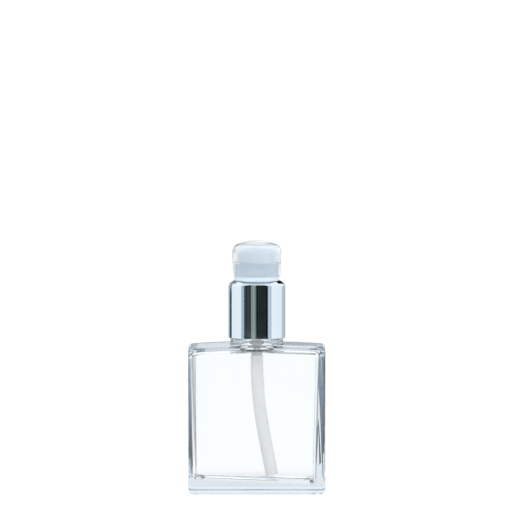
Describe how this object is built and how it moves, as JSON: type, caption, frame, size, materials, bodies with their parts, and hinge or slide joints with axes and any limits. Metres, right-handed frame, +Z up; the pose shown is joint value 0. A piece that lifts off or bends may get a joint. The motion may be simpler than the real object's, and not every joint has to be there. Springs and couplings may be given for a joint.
{
  "type": "aftershave bottle with treatment pump",
  "caption": "Flat-sided clear glass bottle with a screw-on treatment pump: chromed collar, push button, dip tube and a domed translucent hood.",
  "frame": {"origin": "middle of the bottle's base, on the surface it stands on", "axes": "+Z up along the neck, -Y towards the front, where the nozzle points, +X to the right seen from the front"},
  "size_m": [0.0578, 0.028, 0.1065],
  "materials": {
    "bottle_glass": "clear soda-lime glass, polished",
    "collar_chrome": "bright mirror plating",
    "closure_plastic": "natural polypropylene",
    "gasket_foam": "white expanded polyethylene",
    "housing_plastic": "natural polypropylene",
    "piston_plastic": "natural polyethylene",
    "stem_plastic": "white polypropylene",
    "spring_steel": "drawn stainless wire",
    "ball_steel": "polished stainless",
    "tube_plastic": "extruded polyethylene",
    "button_plastic": "white polypropylene, satin",
    "nozzle_plastic": "natural acetal",
    "hood_plastic": "natural polypropylene, translucent"
  },
  "bodies": {
    "bottle": {"glass_bottle": "bottle_glass"},
    "pump_engine": {"neck_gasket": "gasket_foam", "pump_housing": "housing_plastic", "stem_retainer": "stem_plastic", "return_spring": "spring_steel", "dip_tube": "tube_plastic"},
    "closure": {"screw_closure": "closure_plastic", "collar_shell": "collar_chrome"},
    "stem": {"pump_stem": "stem_plastic", "stem_plug": "stem_plastic", "piston_seal": "piston_plastic"},
    "actuator": {"actuator_button": "button_plastic", "nozzle_insert": "nozzle_plastic"},
    "inlet_valve": {"inlet_ball": "ball_steel"},
    "hood": {"overcap_hood": "hood_plastic"}
  },
  "joints": [
    {"name": "pump_lift", "type": "slide", "parent": "bottle", "child": "pump_engine", "axis": [0, 0, 1], "range_m": [0, 0.0048]},
    {"name": "closure_turn", "type": "hinge", "parent": "pump_engine", "child": "closure", "pos_m": [0, 0, 0.0775], "axis": [0, 0, 1], "range_deg": [0, 540]},
    {"name": "actuator_press", "type": "slide", "parent": "pump_engine", "child": "stem", "axis": [0, 0, -1], "range_m": [0, 0.0036], "stiffness_N_per_m": 900, "springref_m": -0.004, "deforming": ["return_spring"]},
    {"name": "actuator_turn", "type": "hinge", "parent": "stem", "child": "actuator", "pos_m": [0, 0, 0.0985], "axis": [0, 0, 1], "continuous": true},
    {"name": "ball_lift", "type": "slide", "parent": "pump_engine", "child": "inlet_valve", "axis": [0, 0, 1], "range_m": [0, 0.0012]},
    {"name": "hood_pull", "type": "slide", "parent": "closure", "child": "hood", "axis": [0, 0, 1], "range_m": [0, 0.03]}
  ],
  "couplings": [
    {"joint": "pump_lift", "follows": "closure_turn", "m_per_rad": 0.00050532}
  ]
}
